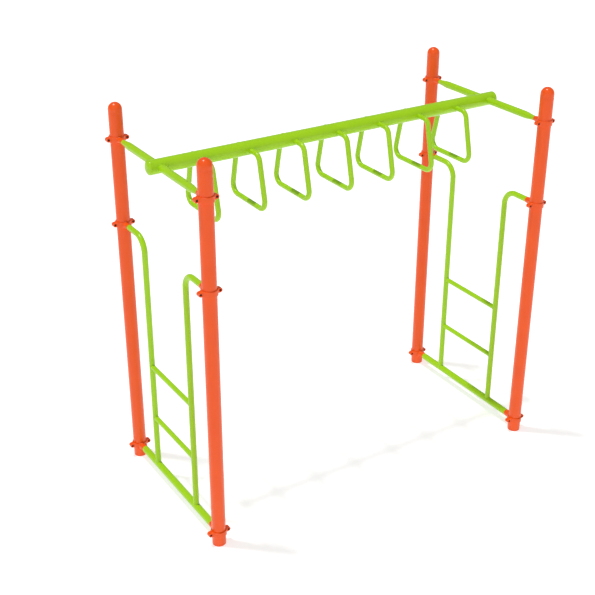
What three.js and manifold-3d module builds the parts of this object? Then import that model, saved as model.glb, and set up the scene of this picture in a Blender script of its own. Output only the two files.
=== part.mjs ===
// Monkey bars: four posts, a single overhead beam with loop rungs, and a ladder frame at each end.
// Millimetres, +Z up. X runs along the overhead beam, -Y is the front, and Z = 0 is the ground.
import * as THREE from 'three';
import { mergeVertices } from 'three/addons/utils/BufferGeometryUtils.js';
import Module from 'manifold-3d';

const wasm = await Module();
wasm.setup();

// ---- Driving dimensions ----

const INCH = 25.4;
const CLEARANCE = 0.3;            // gap between pieces that touch

// Posts
const POST_SPACING_X = 97 * INCH; // centre to centre along the beam
const POST_SPACING_Y = 46 * INCH; // centre to centre across the beam
const OVERALL_HEIGHT = 2577;
const POST_RADIUS = 3.5 * INCH / 2;
const POST_WALL = 3.2;
const POST_SIDES = 20;

// Domed post caps
const CAP_RIM = 20;               // straight band under the dome
const CAP_PLUG_LENGTH = 50;
const CAP_PLUG_WALL = 4;
const DOME_RINGS = 4;

// Two-piece clamps
const CLAMP_HEIGHT = 38;
const CLAMP_THICKNESS = 6.35;
const EAR_OFFSET = 62;            // bolt axis from the post's axis
const EAR_RADIUS = 14.5;
const EAR_FACE = 16;              // outer face of an ear from the clamp's split plane
const SPLIT_GAP = 1.5;            // between the two halves, at the ears
const BOLT_HOLE_RADIUS = 5.5;
const EAR_SIDES = 12;
const BOLT_HOLE_SIDES = 6;
const NECK_REACH = 92;            // end of a neck from the post's axis
const NECK_SIDES = 12;

// Overhead beam
const BEAM_HEIGHT = 2346;
const BEAM_RADIUS = 3.5 * INCH / 2;
const BEAM_WALL = 3.2;
const BEAM_TUBE_LENGTH = 2584;
const BEAM_SIDES = 20;
const BEAM_CAP_RISE = 20;
const BEAM_CAP_PLUG = 30;

// Arms from the beam to the upper clamps, drawn down to a smaller diameter at the neck
const ARM_RADIUS = 1.9 * INCH / 2;
const ARM_END_RADIUS = 16;
const ARM_TAPER = 92;
const ARM_WALL = 2.8;
const ARM_SIDES = 12;

// Loop rungs under the beam
const LOOP_COUNT = 7;
const LOOP_SPACING = 12.5 * INCH;
const LOOP_RADIUS = 1.315 * INCH / 2;
const LOOP_WALL = 2.8;
const LOOP_DROP = 346;            // beam axis to the axis of the grip
const LOOP_STUB_DROP = 8;         // beam axis to the axis of the stubs that enter its sides
const LOOP_GRIP_HALF = 210;       // half the grip, out to where the leg's axis would cross it
const LOOP_LEAN = 0.2307;         // inward lean of a leg, per unit of height
const LOOP_TOP_BEND = 50;
const LOOP_BOTTOM_BEND = 57;
const LOOP_SIDES = 10;
const LOOP_BORE_SIDES = 5;
const LOOP_BEND_STEPS = 3;

// Ladder frames
const LADDER_TOP = 1778;          // axis of the tube that leaves the middle clamps
const UPRIGHT_RADIUS = 1.5 * INCH / 2;
const UPRIGHT_WALL = 2.8;
const UPRIGHT_OFFSET = 280;
const UPRIGHT_BEND = 100;
const UPRIGHT_SIDES = 10;
const UPRIGHT_BORE_SIDES = 5;
const UPRIGHT_BEND_STEPS = 5;
const RAIL_HEIGHT = 88;
const RAIL_RADIUS = 1.9 * INCH / 2;
const RAIL_WALL = 2.8;
const RAIL_SIDES = 14;
const RUNG_HEIGHTS = { lower: 467, upper: 862 };
const RUNG_RADIUS = 1.315 * INCH / 2;
const RUNG_WALL = 2.5;
const RUNG_SIDES = 12;

// ---- Materials ----

const orangePaint = new THREE.MeshStandardMaterial({ color: '#ee5f30', roughness: 0.35, metalness: 0 });
const greenPaint = new THREE.MeshStandardMaterial({ color: '#9bcb33', roughness: 0.35, metalness: 0 });

// ---- Solid helpers ----

function toSolid(geometry) {
  const bare = geometry.clone();
  bare.deleteAttribute('normal');
  bare.deleteAttribute('uv');
  const merged = mergeVertices(bare, 1e-4);
  return new wasm.Manifold(new wasm.Mesh({
    numProp: 3,
    vertProperties: new Float32Array(merged.attributes.position.array),
    triVerts: new Uint32Array(merged.index.array),
  }));
}

function toGeometry(solid) {
  const mesh = solid.getMesh();
  const geometry = new THREE.BufferGeometry();
  geometry.setAttribute('position', new THREE.BufferAttribute(mesh.vertProperties, 3));
  geometry.setIndex(new THREE.BufferAttribute(mesh.triVerts, 1));
  geometry.computeVertexNormals();
  return geometry;
}

// A profile of [radius, height] points turned about Z.
function turned(profile, sides) {
  const points = profile.map(([radius, height]) => new THREE.Vector2(radius, height));
  return new THREE.LatheGeometry(points, sides).rotateX(Math.PI / 2);
}

// A round bar along Z, from one height to another.
function bar(radius, bottom, top, sides) {
  return turned([[0, bottom], [radius, bottom], [radius, top], [0, top]], sides);
}

// A round tube along Z, open at both ends.
function tube(radius, wall, bottom, top, sides) {
  const inner = radius - wall;
  return turned([[inner, bottom], [radius, bottom], [radius, top], [inner, top], [inner, bottom]], sides);
}

// Turns a piece made along +Z so that it runs along +Y or +X.
const alongY = (geometry) => geometry.rotateX(-Math.PI / 2);
const alongX = (geometry) => geometry.rotateY(Math.PI / 2);

// A bar that cuts a saddle for a tube of the given radius, with clearance.
function saddleCutter(radius, length, sides, turn) {
  return toSolid(turn(bar(radius + CLEARANCE, -length / 2, length / 2, sides)));
}

function circleShape(radius, sides) {
  const points = [];
  for (let i = 0; i < sides; i += 1) {
    const angle = 2 * Math.PI * i / sides;
    points.push(new THREE.Vector2(radius * Math.cos(angle), radius * Math.sin(angle)));
  }
  return new THREE.Shape(points);
}

// The centre line of a bent tube: straight runs between corners, each corner rounded by an arc.
// Its stations are the ends of the runs and the steps of the arcs.
class BentPath extends THREE.Curve {
  constructor(corners, bendRadii, bendSteps) {
    super();
    this.stations = [];
    const last = corners.length - 1;
    const direction = (i) => corners[i + 1].clone().sub(corners[i]).normalize();
    this.stations.push({ point: corners[0], tangent: direction(0) });
    for (let i = 1; i < last; i += 1) {
      this.addBend(corners[i], direction(i - 1), direction(i), bendRadii[i - 1], bendSteps);
    }
    this.stations.push({ point: corners[last], tangent: direction(last - 1) });
  }

  addBend(corner, before, after, radius, steps) {
    const turn = before.angleTo(after);
    const start = corner.clone().addScaledVector(before, -radius * Math.tan(turn / 2));
    const axis = before.clone().cross(after).normalize();
    const centre = start.clone().addScaledVector(axis.clone().cross(before), radius);
    for (let i = 0; i <= steps; i += 1) {
      const angle = turn * i / steps;
      const point = start.clone().sub(centre).applyAxisAngle(axis, angle).add(centre);
      this.stations.push({ point, tangent: before.clone().applyAxisAngle(axis, angle) });
    }
  }

  station(u) {
    return this.stations[Math.round(u * (this.stations.length - 1))];
  }

  getPointAt(u, target = new THREE.Vector3()) {
    return target.copy(this.station(u).point);
  }

  getTangentAt(u, target = new THREE.Vector3()) {
    return target.copy(this.station(u).tangent);
  }
}

function bentBar(path, radius, sides) {
  const options = { steps: path.stations.length - 1, extrudePath: path, bevelEnabled: false };
  return toSolid(new THREE.ExtrudeGeometry(circleShape(radius, sides), options));
}

// A bent tube, open at both ends. Its bore has fewer sides than its outside.
function bentTube(path, radius, wall, sides, boreSides) {
  return bentBar(path, radius, sides).subtract(bentBar(path, radius - wall, boreSides));
}

// ---- Posts and caps ----

const POST_TOP = OVERALL_HEIGHT - POST_RADIUS - CAP_RIM;

function domeProfile(radius, rise, base, rings) {
  const profile = [];
  for (let i = 0; i <= rings; i += 1) {
    const angle = (Math.PI / 2) * (i / rings);
    profile.push([radius * Math.cos(angle), base + rise * Math.sin(angle)]);
  }
  profile[rings][0] = 0;
  return profile;
}

// A domed cap with a hollow plug that fits inside the tube. The tube's end is at height 0.
function plugCap(radius, wall, rim, rise, plugLength, sides) {
  const plugOuter = radius - wall - CLEARANCE;
  const plugInner = plugOuter - CAP_PLUG_WALL;
  const profile = [
    [0, CLEARANCE],
    [plugInner, CLEARANCE],
    [plugInner, -plugLength],
    [plugOuter, -plugLength],
    [plugOuter, CLEARANCE],
    [radius, CLEARANCE],
    ...domeProfile(radius, rise, rim, DOME_RINGS),
  ];
  return turned(profile, sides);
}

// ---- Clamps ----

const CLAMP_BORE = POST_RADIUS + CLEARANCE;
const CLAMP_OUTER = POST_RADIUS + CLAMP_THICKNESS;

// Neck radii, [at the clamp, at the tube], for each kind of clamp.
const NECKS = { beam: [21, ARM_END_RADIUS], ladder: [22.5, 20], rail: [26, RAIL_RADIUS - 1] };

function arcPoints(radius, from, to, steps) {
  const points = [];
  for (let i = 0; i <= steps; i += 1) {
    const angle = from + (to - from) * i / steps;
    points.push(new THREE.Vector2(radius * Math.cos(angle), radius * Math.sin(angle)));
  }
  return points;
}

// Half of the ring, on the +Y side of the split plane.
function halfRing() {
  const outline = [
    ...arcPoints(CLAMP_OUTER, 0, Math.PI, POST_SIDES / 2),
    ...arcPoints(CLAMP_BORE, Math.PI, 0, POST_SIDES / 2),
  ];
  const options = { depth: CLAMP_HEIGHT, bevelEnabled: false };
  const ring = new THREE.ExtrudeGeometry(new THREE.Shape(outline), options);
  return toSolid(ring.translate(0, SPLIT_GAP / 2, -CLAMP_HEIGHT / 2));
}

// A rounded ear that stands out along X and takes a bolt along Y.
function ear(side) {
  const depth = EAR_FACE - SPLIT_GAP / 2;
  const middle = SPLIT_GAP / 2 + depth / 2;
  const knob = alongY(bar(EAR_RADIUS, SPLIT_GAP / 2, EAR_FACE, EAR_SIDES)).translate(side * EAR_OFFSET, 0, 0);
  const root = CLAMP_BORE + 1;
  const web = new THREE.BoxGeometry(EAR_OFFSET - root, depth, 2 * EAR_RADIUS);
  web.translate(side * (root + EAR_OFFSET) / 2, middle, 0);
  return toSolid(knob).add(toSolid(web));
}

function clampHalf(neck) {
  let solid = halfRing().add(ear(-1)).add(ear(1));
  for (const side of [-1, 1]) {
    const hole = alongY(bar(BOLT_HOLE_RADIUS, -1, EAR_FACE + 1, BOLT_HOLE_SIDES));
    solid = solid.subtract(toSolid(hole.translate(side * EAR_OFFSET, 0, 0)));
  }
  if (neck) {
    const [rootRadius, endRadius] = neck;
    const profile = [[0, POST_RADIUS - 4], [rootRadius, POST_RADIUS - 4], [endRadius, NECK_REACH], [0, NECK_REACH]];
    const cone = toSolid(alongY(turned(profile, NECK_SIDES)));
    const bore = toSolid(bar(CLAMP_BORE, -CLAMP_HEIGHT, CLAMP_HEIGHT, POST_SIDES));
    solid = solid.add(cone.subtract(bore));
  }
  return toGeometry(solid);
}

// ---- Arms, loops and ladder frames ----

// Where the tubes start: the ends of the necks, measured from the middle of the frame.
const TUBE_END = POST_SPACING_Y / 2 - NECK_REACH - CLEARANCE;

// An arm along +Y from the beam's side, which is at Y = 0, to its neck.
function beamArm() {
  const swage = TUBE_END - ARM_TAPER;
  const outer = [[ARM_RADIUS, 0], [ARM_RADIUS, swage], [ARM_END_RADIUS, TUBE_END]];
  const inner = outer.map(([radius, y]) => [radius - ARM_WALL, y]).reverse();
  const blank = toSolid(alongY(turned([...outer, ...inner, outer[0]], ARM_SIDES)));
  return toGeometry(blank.subtract(saddleCutter(BEAM_RADIUS, 4 * BEAM_RADIUS, BEAM_SIDES, alongX)));
}

// A loop rung in the YZ plane, with the beam's axis at the origin.
function loopRung() {
  const shoulder = LOOP_GRIP_HALF - LOOP_LEAN * (LOOP_DROP - LOOP_STUB_DROP);
  const corners = [
    new THREE.Vector3(0, -BEAM_RADIUS / 2, -LOOP_STUB_DROP),
    new THREE.Vector3(0, -shoulder, -LOOP_STUB_DROP),
    new THREE.Vector3(0, -LOOP_GRIP_HALF, -LOOP_DROP),
    new THREE.Vector3(0, LOOP_GRIP_HALF, -LOOP_DROP),
    new THREE.Vector3(0, shoulder, -LOOP_STUB_DROP),
    new THREE.Vector3(0, BEAM_RADIUS / 2, -LOOP_STUB_DROP),
  ];
  const radii = [LOOP_TOP_BEND, LOOP_BOTTOM_BEND, LOOP_BOTTOM_BEND, LOOP_TOP_BEND];
  const path = new BentPath(corners, radii, LOOP_BEND_STEPS);
  const blank = bentTube(path, LOOP_RADIUS, LOOP_WALL, LOOP_SIDES, LOOP_BORE_SIDES);
  return toGeometry(blank.subtract(saddleCutter(BEAM_RADIUS, 4 * LOOP_RADIUS, BEAM_SIDES, alongX)));
}

// An upright on the +Y side: out of the neck, round a wide bend, and down onto the ground rail.
function ladderUpright() {
  const corners = [
    new THREE.Vector3(0, TUBE_END, LADDER_TOP),
    new THREE.Vector3(0, UPRIGHT_OFFSET, LADDER_TOP),
    new THREE.Vector3(0, UPRIGHT_OFFSET, RAIL_HEIGHT),
  ];
  const path = new BentPath(corners, [UPRIGHT_BEND], UPRIGHT_BEND_STEPS);
  const blank = bentTube(path, UPRIGHT_RADIUS, UPRIGHT_WALL, UPRIGHT_SIDES, UPRIGHT_BORE_SIDES);
  const cutter = saddleCutter(RAIL_RADIUS, 2 * POST_SPACING_Y, RAIL_SIDES, alongY);
  return toGeometry(blank.subtract(cutter.translate([0, 0, RAIL_HEIGHT])));
}

// A rung along Y between the two uprights.
function ladderRung() {
  let solid = toSolid(alongY(tube(RUNG_RADIUS, RUNG_WALL, -UPRIGHT_OFFSET, UPRIGHT_OFFSET, RUNG_SIDES)));
  for (const side of [-1, 1]) {
    const upright = bar(UPRIGHT_RADIUS + CLEARANCE, -100, 100, 2 * UPRIGHT_SIDES);
    solid = solid.subtract(toSolid(upright.translate(0, side * UPRIGHT_OFFSET, 0)));
  }
  return toGeometry(solid);
}

// ---- Assembly ----

const assembly = new THREE.Group();

function addPiece(name, geometry, material, position, turn = 0) {
  const mesh = new THREE.Mesh(geometry, material);
  mesh.name = name;
  mesh.position.set(...position);
  mesh.rotation.z = turn;
  assembly.add(mesh);
}

const ends = [{ name: 'left', x: -POST_SPACING_X / 2 }, { name: 'right', x: POST_SPACING_X / 2 }];

// turn points a piece that is modelled on the +Y side away from the post, towards the middle.
const rows = [
  { name: 'front', y: -POST_SPACING_Y / 2, towardsPost: Math.PI, towardsMiddle: 0 },
  { name: 'rear', y: POST_SPACING_Y / 2, towardsPost: 0, towardsMiddle: Math.PI },
];

const clampLevels = { beam: BEAM_HEIGHT, ladder: LADDER_TOP, rail: RAIL_HEIGHT };

const postTube = tube(POST_RADIUS, POST_WALL, 0, POST_TOP, POST_SIDES);
const postCap = plugCap(POST_RADIUS, POST_WALL, CAP_RIM, POST_RADIUS, CAP_PLUG_LENGTH, POST_SIDES);
const outerHalf = clampHalf(null);
const innerHalves = Object.fromEntries(Object.entries(NECKS).map(([kind, neck]) => [kind, clampHalf(neck)]));
const arm = beamArm();
const upright = ladderUpright();

for (const end of ends) {
  for (const row of rows) {
    const place = `${row.name}_${end.name}`;
    addPiece(`post_${place}`, postTube, orangePaint, [end.x, row.y, 0]);
    addPiece(`post_cap_${place}`, postCap, orangePaint, [end.x, row.y, POST_TOP]);
    for (const [kind, height] of Object.entries(clampLevels)) {
      const centre = [end.x, row.y, height];
      addPiece(`${kind}_clamp_inner_${place}`, innerHalves[kind], orangePaint, centre, row.towardsMiddle);
      addPiece(`${kind}_clamp_outer_${place}`, outerHalf, orangePaint, centre, row.towardsPost);
    }
    addPiece(`beam_arm_${place}`, arm, greenPaint, [end.x, 0, BEAM_HEIGHT], row.towardsPost);
    addPiece(`ladder_upright_${place}`, upright, greenPaint, [end.x, 0, 0], row.towardsPost);
  }
  const railTube = alongY(tube(RAIL_RADIUS, RAIL_WALL, -TUBE_END, TUBE_END, RAIL_SIDES));
  addPiece(`ground_rail_${end.name}`, railTube, greenPaint, [end.x, 0, RAIL_HEIGHT]);
  for (const [level, height] of Object.entries(RUNG_HEIGHTS)) {
    addPiece(`ladder_rung_${level}_${end.name}`, ladderRung(), greenPaint, [end.x, 0, height]);
  }
}

const beamHalf = BEAM_TUBE_LENGTH / 2;
const beamTube = alongX(tube(BEAM_RADIUS, BEAM_WALL, -beamHalf, beamHalf, BEAM_SIDES));
addPiece('overhead_beam', beamTube, greenPaint, [0, 0, BEAM_HEIGHT]);

const beamCap = alongX(plugCap(BEAM_RADIUS, BEAM_WALL, CLEARANCE, BEAM_CAP_RISE, BEAM_CAP_PLUG, BEAM_SIDES));
addPiece('beam_cap_right', beamCap, greenPaint, [beamHalf, 0, BEAM_HEIGHT]);
addPiece('beam_cap_left', beamCap, greenPaint, [-beamHalf, 0, BEAM_HEIGHT], Math.PI);

const loop = loopRung();
for (let i = 0; i < LOOP_COUNT; i += 1) {
  const x = (i - (LOOP_COUNT - 1) / 2) * LOOP_SPACING;
  addPiece(`loop_rung_${i + 1}`, loop, greenPaint, [x, 0, BEAM_HEIGHT]);
}

export default assembly;
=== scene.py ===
"""The finished look of the monkey bars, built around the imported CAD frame.

Metres, +Z up, +X along the beam.
"""

import math

import bmesh
import bpy
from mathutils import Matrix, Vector


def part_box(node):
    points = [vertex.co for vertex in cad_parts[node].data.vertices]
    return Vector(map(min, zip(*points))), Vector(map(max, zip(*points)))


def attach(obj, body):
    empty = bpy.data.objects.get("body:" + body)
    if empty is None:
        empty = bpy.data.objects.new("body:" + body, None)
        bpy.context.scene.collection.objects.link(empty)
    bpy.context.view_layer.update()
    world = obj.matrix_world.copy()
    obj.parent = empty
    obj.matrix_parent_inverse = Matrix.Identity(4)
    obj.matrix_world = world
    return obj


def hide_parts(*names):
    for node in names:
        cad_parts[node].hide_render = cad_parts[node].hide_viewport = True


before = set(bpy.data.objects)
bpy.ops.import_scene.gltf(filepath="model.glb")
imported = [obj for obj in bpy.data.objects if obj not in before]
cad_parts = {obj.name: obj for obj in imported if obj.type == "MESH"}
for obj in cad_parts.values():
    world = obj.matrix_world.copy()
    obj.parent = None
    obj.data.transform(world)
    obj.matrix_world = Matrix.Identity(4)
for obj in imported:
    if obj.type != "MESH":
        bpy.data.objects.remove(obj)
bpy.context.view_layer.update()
scene = bpy.context.scene

# ---- Sizes, in metres ----

INCH = 0.0254
X = Vector((1, 0, 0))
Y = Vector((0, 1, 0))
Z = Vector((0, 0, 1))

POST_RADIUS = 3.5 * INCH / 2
POST_WALL = 0.0032
# Only the open foot of a post shows its bore, so the visible bore stops a little way up.
POST_BORE_DEPTH = 0.08
CAP_RIM = 0.020
CAP_PLUG_DEPTH = 0.05
# How much less the radius of a cap's plug is than its tube's, and the seam under the cap's rim.
PLUG_INSET = 0.0036
CAP_SEAM = 0.0003
BEAM_RADIUS = 3.5 * INCH / 2
BEAM_CAP_RISE = 0.020
BEAM_PLUG_DEPTH = 0.03
ARM_RADIUS = 1.9 * INCH / 2
ARM_END_RADIUS = 0.016
ARM_TAPER = 0.092
# The taper stops this far short of the arm's end, and its curve swells and hollows by this much.
ARM_TAPER_STOP = 0.004
ARM_TAPER_CURVE = 0.0016
LOOP_RADIUS = 1.315 * INCH / 2
LOOP_DROP = 0.346
LOOP_STUB_DROP = 0.008
LOOP_GRIP_HALF = 0.210
LOOP_LEAN = 0.2307
LOOP_TOP_BEND = 0.050
LOOP_BOTTOM_BEND = 0.057
UPRIGHT_RADIUS = 1.5 * INCH / 2
UPRIGHT_BEND = 0.100
RAIL_RADIUS = 1.9 * INCH / 2
RUNG_RADIUS = 1.315 * INCH / 2
ARM_WELD = 0.0026
TUBE_WELD = 0.0021
RUNG_WELD = 0.0018

CLAMP_BORE = POST_RADIUS + 0.0003
CLAMP_OUTER = POST_RADIUS + 0.25 * INCH
CLAMP_HALF_HEIGHT = 0.019
EAR_OFFSET = 0.062
EAR_RADIUS = 0.0145
EAR_FACE = 0.016
EAR_SPLIT = 0.00075
EAR_FILLET = 0.007
EDGE = 0.0022
COUNTERBORE = 0.0078
COUNTERBORE_DEPTH = 0.0075
BOLT_HOLE = 0.0045
NECK_START = 0.0425
NECK_COLLAR = 0.0045
NECK_REACH = 0.092
# Radius of each neck at the clamp and at its end.
NECKS = {
    "beam": (0.021, ARM_END_RADIUS),
    "ladder": (0.0225, 0.020),
    "rail": (0.026, RAIL_RADIUS - 0.001),
}
BOLT_RADIUS = 0.004
BOLT_HEAD = 0.0064
BOLT_SOCKET = 0.0032
BOLT_PAST_NUT = 0.0065

ORANGE = "orange_powder_coat"
GREEN = "green_powder_coat"

# ---- Settings of the light, floor and camera ----

# Towards the middle of the studio's bright side, and the light there and on the far side.
STUDIO_FRONT = (-0.53, -0.83, 0.18)
STUDIO_DIM = 0.32
STUDIO_BRIGHT = 0.80
KEY_TOWARDS = (-0.145, 0.14, 1.0)
KEY_STRENGTH = 1.8
KEY_WIDTH = 3
FLOOR_SIZE = 60
FLOOR_GLOW = 0.60
CAMERA_PLACE = (-3.8562, -5.7077, 4.6510)
CAMERA_DOWN = 26.90
CAMERA_TURN = -32.07
CAMERA_LENS = 68.8
CAMERA_SENSOR = 36

# ---- Materials ----


def node(tree, kind, **values):
    """A new node. Each value goes to the input of that name, or else to the node's own setting."""
    made = tree.nodes.new(kind)
    for key, value in values.items():
        if key in made.inputs:
            made.inputs[key].default_value = value
        else:
            setattr(made, key, value)
    return made


def powder_coat(name, light, deep):
    """Glossy powder coat, drifting slightly in colour and gloss, with a baked coat's fine texture."""
    material = bpy.data.materials.new(name)
    material.use_nodes = True
    tree = material.node_tree
    link = tree.links.new
    shader = tree.nodes["Principled BSDF"]
    shader.inputs["Coat Weight"].default_value = 0.05
    shader.inputs["Coat Roughness"].default_value = 0.15
    shader.inputs["IOR"].default_value = 1.5
    shader.inputs["Specular IOR Level"].default_value = 0.36
    place = node(tree, "ShaderNodeTexCoord")
    drift = node(tree, "ShaderNodeTexNoise", Scale=5.0, Detail=3.0, Roughness=0.5)
    link(place.outputs["Object"], drift.inputs["Vector"])
    colours = node(tree, "ShaderNodeValToRGB")
    colours.color_ramp.elements[0].position = 0.3
    colours.color_ramp.elements[0].color = (*deep, 1)
    colours.color_ramp.elements[1].position = 0.7
    colours.color_ramp.elements[1].color = (*light, 1)
    link(drift.outputs["Fac"], colours.inputs["Fac"])
    link(colours.outputs["Color"], shader.inputs["Base Color"])
    gloss = node(tree, "ShaderNodeTexNoise", Scale=60.0, Detail=2.0)
    link(place.outputs["Object"], gloss.inputs["Vector"])
    spread = node(tree, "ShaderNodeMapRange")
    spread.inputs["To Min"].default_value = 0.27
    spread.inputs["To Max"].default_value = 0.30
    link(gloss.outputs["Fac"], spread.inputs["Value"])
    link(spread.outputs["Result"], shader.inputs["Roughness"])
    peel = node(tree, "ShaderNodeTexNoise", Scale=420.0, Detail=2.0)
    link(place.outputs["Object"], peel.inputs["Vector"])
    bump = node(tree, "ShaderNodeBump", Strength=0.02, Distance=0.0003)
    link(peel.outputs["Fac"], bump.inputs["Height"])
    link(bump.outputs["Normal"], shader.inputs["Normal"])
    return material


def dark_steel(name):
    """Blackened steel for the bolts and nuts, slightly mottled in colour and gloss."""
    material = bpy.data.materials.new(name)
    material.use_nodes = True
    tree = material.node_tree
    link = tree.links.new
    shader = tree.nodes["Principled BSDF"]
    shader.inputs["Metallic"].default_value = 0.9
    place = node(tree, "ShaderNodeTexCoord")
    mottle = node(tree, "ShaderNodeTexNoise", Scale=300.0, Detail=4.0)
    link(place.outputs["Object"], mottle.inputs["Vector"])
    colours = node(tree, "ShaderNodeValToRGB")
    colours.color_ramp.elements[0].color = (0.035, 0.022, 0.018, 1)
    colours.color_ramp.elements[1].color = (0.09, 0.06, 0.05, 1)
    link(mottle.outputs["Fac"], colours.inputs["Fac"])
    link(colours.outputs["Color"], shader.inputs["Base Color"])
    spread = node(tree, "ShaderNodeMapRange")
    spread.inputs["To Min"].default_value = 0.35
    spread.inputs["To Max"].default_value = 0.6
    link(mottle.outputs["Fac"], spread.inputs["Value"])
    link(spread.outputs["Result"], shader.inputs["Roughness"])
    return material


def floor_paint(name):
    """Plain pale floor. Its steady glow keeps it white and the shadows on it faint."""
    material = bpy.data.materials.new(name)
    material.use_nodes = True
    tree = material.node_tree
    shader = tree.nodes["Principled BSDF"]
    shader.inputs["Roughness"].default_value = 0.9
    shader.inputs["Specular IOR Level"].default_value = 0.1
    shader.inputs["Emission Color"].default_value = (1, 1, 1, 1)
    shader.inputs["Emission Strength"].default_value = FLOOR_GLOW
    cloud = node(tree, "ShaderNodeTexNoise", Scale=2.0, Detail=3.0)
    colours = node(tree, "ShaderNodeValToRGB")
    colours.color_ramp.elements[0].color = (0.64, 0.64, 0.64, 1)
    colours.color_ramp.elements[1].color = (0.66, 0.66, 0.66, 1)
    tree.links.new(cloud.outputs["Fac"], colours.inputs["Fac"])
    tree.links.new(colours.outputs["Color"], shader.inputs["Base Color"])
    return material


orange_coat = powder_coat("orange_coat", (0.915, 0.098, 0.003), (0.875, 0.088, 0.002))
green_coat = powder_coat("green_coat", (0.368, 0.665, 0.006), (0.338, 0.630, 0.004))
steel = dark_steel("dark_steel")
FINISH = {ORANGE: orange_coat, GREEN: green_coat}

# ---- Mesh building ----

SHARP = math.radians(34)


def circle(centre, u, v, radius, count):
    angles = [2 * math.pi * i / count for i in range(count)]
    return [centre + radius * (math.cos(a) * u + math.sin(a) * v) for a in angles]


def skin(bm, rings, ends=(None, None), closed=False):
    """Joins rings of points into a surface. It closes on itself, or is capped at both ends."""
    rows = [[bm.verts.new(p) for p in ring] for ring in rings]
    pairs = list(zip(rows, rows[1:]))
    if closed:
        pairs.append((rows[-1], rows[0]))
    for a, b in pairs:
        for i in range(len(a)):
            bm.faces.new((a[i - 1], a[i], b[i], b[i - 1]))
    if closed:
        return
    for row, point in zip((rows[0], rows[-1]), ends):
        hub = bm.verts.new(point or sum((v.co for v in row), Vector()) / len(row))
        for i in range(len(row)):
            bm.faces.new((row[i - 1], row[i], hub))


def rounded(profile, steps=4):
    """Softens the corners of a profile of (radius, height) or (radius, height, rounding) points."""
    points = [Vector(profile[0][:2])]
    for before, corner, after in zip(profile, profile[1:], profile[2:]):
        tip = Vector(corner[:2])
        back = Vector(before[:2]) - tip
        ahead = Vector(after[:2]) - tip
        reach = min(corner[2] if len(corner) > 2 else 0, 0.49 * back.length, 0.49 * ahead.length)
        if reach <= 0:
            points.append(tip)
            continue
        start = tip + reach * back.normalized()
        end = tip + reach * ahead.normalized()
        for i in range(steps + 1):
            t = i / steps
            points.append((1 - t) ** 2 * start + 2 * t * (1 - t) * tip + t * t * end)
    points.append(Vector(profile[-1][:2]))
    return points


def turned(bm, profile, origin, axis, count=64):
    """A turned body. Its profile starts and ends on the axis."""
    u = axis.orthogonal().normalized()
    v = axis.cross(u)
    points = rounded(profile)
    rings = [circle(origin + h * axis, u, v, r, count) for r, h in points[1:-1]]
    skin(bm, rings, [origin + points[i][1] * axis for i in (0, -1)])


def bent_line(corners, bends, steps=14):
    """Stations (point, tangent) along straight runs joined by round bends."""
    headings = [(b - a).normalized() for a, b in zip(corners, corners[1:])]
    stations = [(corners[0], headings[0])]
    for corner, radius, before, after in zip(corners[1:], bends, headings, headings[1:]):
        turn = before.angle(after)
        start = corner - radius * math.tan(turn / 2) * before
        inward = (after - after.dot(before) * before).normalized()
        for i in range(steps + 1):
            a = turn * i / steps
            point = start + radius * (math.sin(a) * before + (1 - math.cos(a)) * inward)
            stations.append((point, math.cos(a) * before + math.sin(a) * inward))
    stations.append((corners[-1], headings[-1]))
    return stations


def coped(ring, joint, along, mother_axis, mother_radius):
    """Slides a ring's points along the tube until they meet the side of the tube it joins."""
    across = along.cross(mother_axis).normalized()
    moved = []
    for point in ring:
        offset = point - joint
        sideways = offset.dot(across)
        reach = math.sqrt(mother_radius**2 - sideways**2)
        moved.append(point + (reach - offset.dot(along)) * along)
    return moved


def bent_tube(stations, side, radius, count=40):
    """Rings of a tube along its stations."""
    return [circle(point, side, heading.cross(side), radius, count) for point, heading in stations]


def weld(bm, joint, along, radius, mother_axis, mother_radius, size=TUBE_WELD, axis_shift=Vector()):
    """A rippled bead of weld where a tube meets the side of another."""
    pitch = 0.0034
    u = mother_axis
    v = along.cross(mother_axis).normalized()
    ripples = round(2 * math.pi * radius / pitch)
    count = 4 * ripples
    tube_axis = joint + axis_shift
    seam = coped(circle(tube_axis, u, v, radius, count), joint, along, mother_axis, mother_radius)
    rings = []
    for i, point in enumerate(seam):
        outward = point - tube_axis
        outward = (outward - outward.dot(along) * along).normalized()
        swell = size * (1 + 0.10 * math.cos(2 * math.pi * i / 4))
        rings.append(circle(point, outward, along, swell, 10))
    skin(bm, rings, closed=True)


def finish(bm, name, material):
    """Makes the object: smooth all over, with sharp edges only where faces turn sharply."""
    bmesh.ops.recalc_face_normals(bm, faces=bm.faces)
    for face in bm.faces:
        face.smooth = True
    for edge in bm.edges:
        if len(edge.link_faces) == 2 and edge.calc_face_angle() > SHARP:
            edge.smooth = False
    mesh = bpy.data.meshes.new(name)
    bm.to_mesh(mesh)
    bm.free()
    mesh.materials.append(material)
    made = bpy.data.objects.new(name, mesh)
    scene.collection.objects.link(made)
    return made


def piece(made, nodes=()):
    """Makes an object a piece of the part, standing for the CAD nodes given."""
    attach(made, "root")
    if nodes:
        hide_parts(*nodes)
    return made


def coated(bm, cad_node, slot):
    """Finishes a mesh as the visible piece that stands for a CAD node."""
    return piece(finish(bm, cad_node + "_coated", FINISH[slot]), [cad_node])


# ---- Where things are ----


def middle(cad_node):
    """Middle of a CAD node's box."""
    low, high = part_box(cad_node)
    return (low + high) / 2


ENDS = ("left", "right")
ROWS = ("front", "rear")
PLACES = [(row, end) for end in ENDS for row in ROWS]
beam_height = middle("overhead_beam").z

# ---- Posts and caps ----

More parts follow.
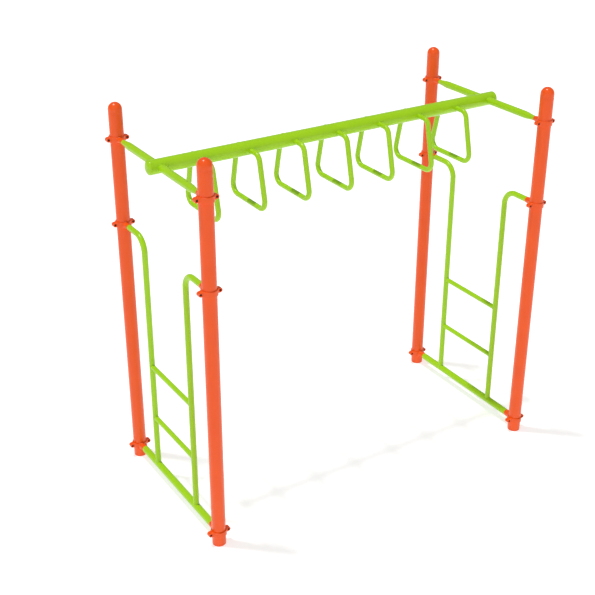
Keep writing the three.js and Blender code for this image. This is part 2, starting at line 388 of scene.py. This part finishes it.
for row, end in PLACES:
    name = f"{row}_{end}"
    foot = middle(f"post_{name}")
    low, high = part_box(f"post_{name}")
    foot.z = low.z
    top = high.z - low.z
    bm = bmesh.new()
    turned(
        bm,
        [
            (0, POST_BORE_DEPTH),
            (POST_RADIUS - POST_WALL, POST_BORE_DEPTH),
            (POST_RADIUS - POST_WALL, 0, 0.0006),
            (POST_RADIUS, 0, 0.0008),
            (POST_RADIUS, top, 0.0006),
            (0, top),
        ],
        foot,
        Z,
    )
    coated(bm, f"post_{name}", ORANGE)

    bm = bmesh.new()
    dome = [
        (POST_RADIUS * math.cos(a), CAP_RIM + POST_RADIUS * math.sin(a))
        for a in [math.pi / 2 * i / 20 for i in range(1, 20)]
    ]
    turned(
        bm,
        [
            (0, -CAP_PLUG_DEPTH),
            (POST_RADIUS - PLUG_INSET, -CAP_PLUG_DEPTH),
            (POST_RADIUS - PLUG_INSET, CAP_SEAM),
            (POST_RADIUS + 0.0002, CAP_SEAM, 0.0012),
            (POST_RADIUS + 0.0002, CAP_RIM - 0.004),
            (POST_RADIUS, CAP_RIM),
            *dome,
            (0, CAP_RIM + POST_RADIUS),
        ],
        foot + top * Z,
        Z,
    )
    coated(bm, f"post_cap_{name}", ORANGE)

# ---- Clamps ----


def smooth_step(t):
    """Eases from 0 to 1."""
    t = min(max(t, 0), 1)
    return t * t * (3 - 2 * t)


def half_clamp_stations():
    """Stations from one ear's tip to the other's: inner point, outer point and half height."""
    stations = []
    tip = EAR_OFFSET + EAR_RADIUS
    for i in range(1, 13):
        a = math.pi / 2 * i / 12
        x = EAR_OFFSET + EAR_RADIUS * math.cos(a)
        height = EAR_RADIUS * math.sin(a)
        near_tip = max(0, (x - (tip - EDGE)) / EDGE)
        face = EAR_FACE - EDGE * (1 - math.sqrt(max(0, 1 - near_tip**2)))
        stations.append((Vector((x, EAR_SPLIT)), Vector((x, face)), height))
    fillet_y = EAR_FACE + EAR_FILLET
    fillet_x = math.sqrt((CLAMP_OUTER + EAR_FILLET) ** 2 - fillet_y**2)
    swell = CLAMP_HALF_HEIGHT - EAR_RADIUS
    for i in range(1, 4):
        x = EAR_OFFSET + (fillet_x - EAR_OFFSET) * i / 4
        height = EAR_RADIUS + swell * smooth_step(0.35 * i / 4)
        stations.append((Vector((x, EAR_SPLIT)), Vector((x, EAR_FACE)), height))
    bend_to = math.atan2(fillet_y, fillet_x)
    sweep = math.pi / 2 - bend_to
    for i in range(7):
        t = i / 6
        a = -math.pi / 2 - sweep * t
        outer = Vector((fillet_x, fillet_y)) + EAR_FILLET * Vector((math.cos(a), math.sin(a)))
        inner = Vector((fillet_x + (CLAMP_BORE - fillet_x) * t, EAR_SPLIT))
        height = EAR_RADIUS + swell * smooth_step(0.35 + 0.65 * t)
        stations.append((inner, outer, height))
    first_inner = math.asin(EAR_SPLIT / CLAMP_BORE)
    for i in range(1, 13):
        t = i / 12
        outer_angle = bend_to + (math.pi / 2 - bend_to) * t
        inner_angle = first_inner + (math.pi / 2 - first_inner) * t
        inner = CLAMP_BORE * Vector((math.cos(inner_angle), math.sin(inner_angle)))
        outer = CLAMP_OUTER * Vector((math.cos(outer_angle), math.sin(outer_angle)))
        stations.append((inner, outer, CLAMP_HALF_HEIGHT))
    mirrored = [(Vector((-i.x, i.y)), Vector((-o.x, o.y)), h) for i, o, h in reversed(stations[:-1])]
    return stations + mirrored


def clamp_section(inner, outer, half):
    """A section through the half clamp, with rounded outer edges."""
    across = outer - inner
    width = across.length
    across = across / width
    soft = min(EDGE, 0.8 * half, 0.45 * width)
    crisp = min(0.0005, 0.3 * half)
    outline = [(0, -half + crisp), (0, half - crisp), (crisp, half)]
    for i in range(5):
        a = math.pi / 2 * (1 - i / 4)
        outline.append((width - soft + soft * math.cos(a), half - soft + soft * math.sin(a)))
    for i in range(5):
        a = -math.pi / 2 * i / 4
        outline.append((width - soft + soft * math.cos(a), -half + soft + soft * math.sin(a)))
    outline.append((crisp, -half))
    return [Vector((*(inner + w * across), z)) for w, z in outline]


def drilled(blank, cutter):
    """The blank with the cutter's shape taken out, as a plain mesh."""
    modifier = blank.modifiers.new("holes", "BOOLEAN")
    modifier.operation = "DIFFERENCE"
    modifier.solver = "EXACT"
    modifier.object = cutter
    bpy.context.view_layer.update()
    graph = bpy.context.evaluated_depsgraph_get()
    mesh = bpy.data.meshes.new_from_object(blank.evaluated_get(graph))
    for made in (blank, cutter):
        old = made.data
        bpy.data.objects.remove(made)
        bpy.data.meshes.remove(old)
    return mesh


def half_clamp(name, neck):
    """Mesh of one half, on the +Y side of the split, with its bolt holes and any neck."""
    bm = bmesh.new()
    skin(bm, [clamp_section(*station) for station in half_clamp_stations()])
    blank = finish(bm, name, orange_coat)
    bm = bmesh.new()
    for side in (-1, 1):
        turned(
            bm,
            [
                (0, -0.01),
                (BOLT_HOLE, -0.01),
                (BOLT_HOLE, EAR_FACE - COUNTERBORE_DEPTH),
                (COUNTERBORE, EAR_FACE - COUNTERBORE_DEPTH),
                (COUNTERBORE, EAR_FACE - 0.0008),
                (COUNTERBORE + 0.0012, EAR_FACE + 0.0004),
                (COUNTERBORE + 0.0012, EAR_FACE + 0.01),
                (0, EAR_FACE + 0.01),
            ],
            side * EAR_OFFSET * X,
            Y,
            32,
        )
    mesh = drilled(blank, finish(bm, name + "_cutter", orange_coat))
    bm = bmesh.new()
    bm.from_mesh(mesh)
    bpy.data.meshes.remove(mesh)
    if neck:
        root, end = neck
        turned(
            bm,
            [
                (0, NECK_START),
                (root + NECK_COLLAR, NECK_START),
                (root + NECK_COLLAR, 0.046, 0.003),
                (root, 0.054, 0.006),
                (end, NECK_REACH, 0.0014),
                (0, NECK_REACH),
            ],
            Vector(),
            Y,
            48,
        )
    for face in bm.faces:
        face.smooth = True
    for edge in bm.edges:
        if len(edge.link_faces) == 2:
            edge.smooth = edge.calc_face_angle() <= SHARP
    mesh = bpy.data.meshes.new(name)
    bm.to_mesh(mesh)
    bm.free()
    mesh.materials.clear()
    mesh.materials.append(orange_coat)
    return mesh


def bolt_mesh(name):
    """A socket-head bolt along +Y, its head's seat at the origin."""
    bm = bmesh.new()
    shank = -2 * (EAR_FACE - COUNTERBORE_DEPTH) - BOLT_PAST_NUT
    turned(
        bm,
        [
            (0, shank),
            (BOLT_RADIUS, shank, 0.0006),
            (BOLT_RADIUS, 0),
            (BOLT_HEAD, 0, 0.0003),
            (BOLT_HEAD, 0.0045, 0.0012),
            (BOLT_SOCKET + 0.0004, 0.0055),
            (BOLT_SOCKET, 0.0052),
            (BOLT_SOCKET - 0.0004, 0.0022),
            (0, 0.0018),
        ],
        Vector(),
        Y,
        24,
    )
    return finish(bm, name, steel)


def nut_mesh(name):
    """A hexagon nut along +Y, its seat at the origin."""
    bm = bmesh.new()
    corner, hole, thick, chamfer = 0.0074, 0.00405, 0.0052, 0.0007
    sides = 24
    outline = []
    for i in range(sides):
        a = 2 * math.pi * i / sides
        wedge = (a + math.pi / 6) % (math.pi / 3) - math.pi / 6
        outline.append((a, corner * math.cos(math.pi / 6) / math.cos(wedge)))

    def level(radius_of, y):
        return [Vector((radius_of(r) * math.cos(a), y, radius_of(r) * math.sin(a))) for a, r in outline]

    # The corners are turned down at both faces.
    round_limit = corner * math.cos(math.pi / 6) * 1.02
    rings = [
        level(lambda r: hole, 0),
        level(lambda r: min(r, round_limit), 0),
        level(lambda r: r, chamfer),
        level(lambda r: r, thick - chamfer),
        level(lambda r: min(r, round_limit), thick),
        level(lambda r: hole, thick),
    ]
    skin(bm, rings, closed=True)
    return finish(bm, name, steel)


outer_half = half_clamp("clamp_outer_half", None)
inner_halves = {kind: half_clamp(f"{kind}_clamp_inner_half", neck) for kind, neck in NECKS.items()}
first_bolt = bolt_mesh("clamp_bolt")
first_nut = nut_mesh("clamp_nut")
seat = EAR_FACE - COUNTERBORE_DEPTH


def copy_of(mesh, name, position, turn):
    """Another object with the same mesh, turned about the vertical."""
    made = bpy.data.objects.new(name, mesh)
    made.location = position
    made.rotation_euler = (0, 0, turn)
    scene.collection.objects.link(made)
    return made


for row, end in PLACES:
    post = middle(f"post_{row}_{end}")
    inward_turn = 0 if row == "front" else math.pi
    for kind in NECKS:
        outer_node = f"{kind}_clamp_outer_{row}_{end}"
        inner_node = f"{kind}_clamp_inner_{row}_{end}"
        centre = Vector((post.x, post.y, middle(outer_node).z))
        half = copy_of(outer_half, outer_node + "_coated", centre, inward_turn + math.pi)
        piece(half, [outer_node])
        half = copy_of(inner_halves[kind], inner_node + "_coated", centre, inward_turn)
        piece(half, [inner_node])
        for side, hand in ((-1, "left"), (1, "right")):
            axis = centre + side * EAR_OFFSET * X
            label = f"{kind}_clamp_{row}_{end}_{hand}"
            piece(copy_of(first_bolt.data, f"bolt_{label}", axis - seat * Y, math.pi))
            piece(copy_of(first_nut.data, f"nut_{label}", axis + seat * Y, 0))

for made in (first_bolt, first_nut):
    bpy.data.objects.remove(made)

# ---- Overhead beam and its arms ----

low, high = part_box("overhead_beam")
length = high.x - low.x
bm = bmesh.new()
turned(
    bm,
    [(0, 0), (BEAM_RADIUS, 0, 0.0005), (BEAM_RADIUS, length, 0.0005), (0, length)],
    Vector((low.x, 0, beam_height)),
    X,
)
coated(bm, "overhead_beam", GREEN)

for end, sign in zip(ENDS, (-1, 1)):
    bm = bmesh.new()
    bulge = [
        (BEAM_RADIUS * math.cos(a), CAP_SEAM + BEAM_CAP_RISE * math.sin(a))
        for a in [math.pi / 2 * i / 16 for i in range(1, 16)]
    ]
    turned(
        bm,
        [
            (0, -BEAM_PLUG_DEPTH),
            (BEAM_RADIUS - PLUG_INSET, -BEAM_PLUG_DEPTH),
            (BEAM_RADIUS - PLUG_INSET, CAP_SEAM),
            (BEAM_RADIUS - 0.0002, CAP_SEAM),
            *bulge,
            (0, CAP_SEAM + BEAM_CAP_RISE),
        ],
        Vector((sign * length / 2, 0, beam_height)),
        sign * X,
    )
    coated(bm, f"beam_cap_{end}", GREEN)

for row, end in PLACES:
    name = f"beam_arm_{row}_{end}"
    outward = -Y if row == "front" else Y
    joint = Vector((middle(name).x, 0, beam_height))
    low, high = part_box(name)
    reach = max(abs(low.y), abs(high.y))
    swage = reach - ARM_TAPER
    bm = bmesh.new()
    up = outward.cross(X)
    stations = [(0.0, ARM_RADIUS), (0.06, ARM_RADIUS), (swage - 0.02, ARM_RADIUS)]
    for i in range(13):
        t = i / 12
        radius = ARM_RADIUS + (ARM_END_RADIUS - ARM_RADIUS) * t
        # The taper starts and ends in a soft curve.
        radius += ARM_TAPER_CURVE * math.sin(math.pi * t) * (1 - 2 * t)
        stations.append((swage + (ARM_TAPER - ARM_TAPER_STOP) * t, radius))
    stations.append((reach - 0.001, ARM_END_RADIUS))
    stations.append((reach, ARM_END_RADIUS - 0.001))
    rings = [circle(joint + d * outward, X, up, r, 56) for d, r in stations]
    rings[0] = coped(rings[0], joint, outward, X, BEAM_RADIUS)
    skin(bm, rings)
    weld(bm, joint, outward, ARM_RADIUS, X, BEAM_RADIUS, size=ARM_WELD)
    coated(bm, name, GREEN)

# ---- Loop rungs ----

loops = sorted(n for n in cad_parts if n.startswith("loop_rung_"))
shoulder = LOOP_GRIP_HALF - LOOP_LEAN * (LOOP_DROP - LOOP_STUB_DROP)
stub_shift = -LOOP_STUB_DROP * Z
for name in loops:
    joint = Vector((middle(name).x, 0, beam_height))
    corners = [
        joint + Vector((0, y, z))
        for y, z in (
            (0, -LOOP_STUB_DROP),
            (-shoulder, -LOOP_STUB_DROP),
            (-LOOP_GRIP_HALF, -LOOP_DROP),
            (LOOP_GRIP_HALF, -LOOP_DROP),
            (shoulder, -LOOP_STUB_DROP),
            (0, -LOOP_STUB_DROP),
        )
    ]
    bends = [LOOP_TOP_BEND, LOOP_BOTTOM_BEND, LOOP_BOTTOM_BEND, LOOP_TOP_BEND]
    bm = bmesh.new()
    rings = bent_tube(bent_line(corners, bends), X, LOOP_RADIUS)
    rings[0] = coped(rings[0], joint, -Y, X, BEAM_RADIUS)
    rings[-1] = coped(rings[-1], joint, Y, X, BEAM_RADIUS)
    skin(bm, rings)
    for outward in (-Y, Y):
        weld(bm, joint, outward, LOOP_RADIUS, X, BEAM_RADIUS, axis_shift=stub_shift)
    coated(bm, name, GREEN)

# ---- Ladder frames ----

for row, end in PLACES:
    name = f"ladder_upright_{row}_{end}"
    outward = -Y if row == "front" else Y
    low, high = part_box(name)
    rail = middle(f"ground_rail_{end}")
    top = high.z - UPRIGHT_RADIUS
    tube_end = max(abs(low.y), abs(high.y))
    inner = min(abs(low.y), abs(high.y)) + UPRIGHT_RADIUS
    joint = Vector((rail.x, 0, rail.z)) + inner * outward
    corners = [
        Vector((rail.x, 0, top)) + tube_end * outward,
        Vector((rail.x, 0, top)) + inner * outward,
        joint,
    ]
    bm = bmesh.new()
    rings = bent_tube(bent_line(corners, [UPRIGHT_BEND], 20), X, UPRIGHT_RADIUS)
    rings[-1] = coped(rings[-1], joint, Z, Y, RAIL_RADIUS)
    skin(bm, rings)
    weld(bm, joint, Z, UPRIGHT_RADIUS, Y, RAIL_RADIUS)
    coated(bm, name, GREEN)

for end in ENDS:
    name = f"ground_rail_{end}"
    low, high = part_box(name)
    length = high.y - low.y
    bm = bmesh.new()
    turned(
        bm,
        [
            (0, 0),
            (RAIL_RADIUS - 0.0012, 0, 0.0008),
            (RAIL_RADIUS, 0.02, 0.008),
            (RAIL_RADIUS, length - 0.02, 0.008),
            (RAIL_RADIUS - 0.0012, length, 0.0008),
            (0, length),
        ],
        Vector((middle(name).x, low.y, middle(name).z)),
        Y,
        56,
    )
    coated(bm, name, GREEN)
    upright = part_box(f"ladder_upright_rear_{end}")
    offset = upright[0].y + UPRIGHT_RADIUS
    for level in ("lower", "upper"):
        name = f"ladder_rung_{level}_{end}"
        centre = middle(name)
        bm = bmesh.new()
        joints = [(centre + sign * offset * Y, -sign * Y) for sign in (-1, 1)]
        rings = [circle(centre + t * offset * Y, X, Z, RUNG_RADIUS, 40) for t in (-1, -0.8, 0, 0.8, 1)]
        rings[0] = coped(rings[0], joints[0][0], joints[0][1], Z, UPRIGHT_RADIUS)
        rings[-1] = coped(rings[-1], joints[1][0], joints[1][1], Z, UPRIGHT_RADIUS)
        skin(bm, rings)
        for joint, inward in joints:
            weld(bm, joint, inward, RUNG_RADIUS, Z, UPRIGHT_RADIUS, size=RUNG_WELD)
        coated(bm, name, GREEN)

# ---- Floor, light and camera ----

bm = bmesh.new()
bmesh.ops.create_grid(bm, x_segments=8, y_segments=8, size=FLOOR_SIZE)
floor = finish(bm, "floor", floor_paint("floor_paint"))


def studio():
    """Soft light all round, brighter from the front, with plain white to be seen behind the floor."""
    world = bpy.data.worlds.new("studio")
    world.use_nodes = True
    tree = world.node_tree
    link = tree.links.new
    background = tree.nodes["Background"]
    place = node(tree, "ShaderNodeTexCoord")
    facing = node(tree, "ShaderNodeVectorMath", operation="DOT_PRODUCT")
    facing.inputs[1].default_value = STUDIO_FRONT
    link(place.outputs["Generated"], facing.inputs[0])
    lobe = node(tree, "ShaderNodeMapRange", interpolation_type="SMOOTHSTEP")
    lobe.inputs["To Min"].default_value = STUDIO_DIM
    lobe.inputs["To Max"].default_value = STUDIO_BRIGHT
    link(facing.outputs["Value"], lobe.inputs["Value"])
    link(lobe.outputs["Result"], background.inputs["Strength"])
    white = node(tree, "ShaderNodeBackground", Color=(1, 1, 1, 1), Strength=1.0)
    path = node(tree, "ShaderNodeLightPath")
    mix = node(tree, "ShaderNodeMixShader")
    link(path.outputs["Is Camera Ray"], mix.inputs[0])
    link(background.outputs["Background"], mix.inputs[1])
    link(white.outputs["Background"], mix.inputs[2])
    link(mix.outputs["Shader"], tree.nodes["World Output"].inputs["Surface"])
    background.inputs["Color"].default_value = (1, 1, 1, 1)
    scene.world = world


studio()
scene.view_settings.view_transform = "Standard"


def sun(name, towards, strength, width):
    """A distant light. Its width is in degrees."""
    light = bpy.data.lights.new(name, "SUN")
    light.energy = strength
    light.angle = math.radians(width)
    made = bpy.data.objects.new(name, light)
    made.rotation_euler = Vector(towards).to_track_quat("Z", "Y").to_euler()
    scene.collection.objects.link(made)


sun("key", KEY_TOWARDS, KEY_STRENGTH, KEY_WIDTH)

camera = bpy.data.cameras.new("camera")
camera.sensor_width = CAMERA_SENSOR
camera.lens = CAMERA_LENS
made = bpy.data.objects.new("camera", camera)
made.location = CAMERA_PLACE
made.rotation_euler = (math.radians(90 - CAMERA_DOWN), 0, math.radians(CAMERA_TURN))
scene.collection.objects.link(made)
scene.camera = made
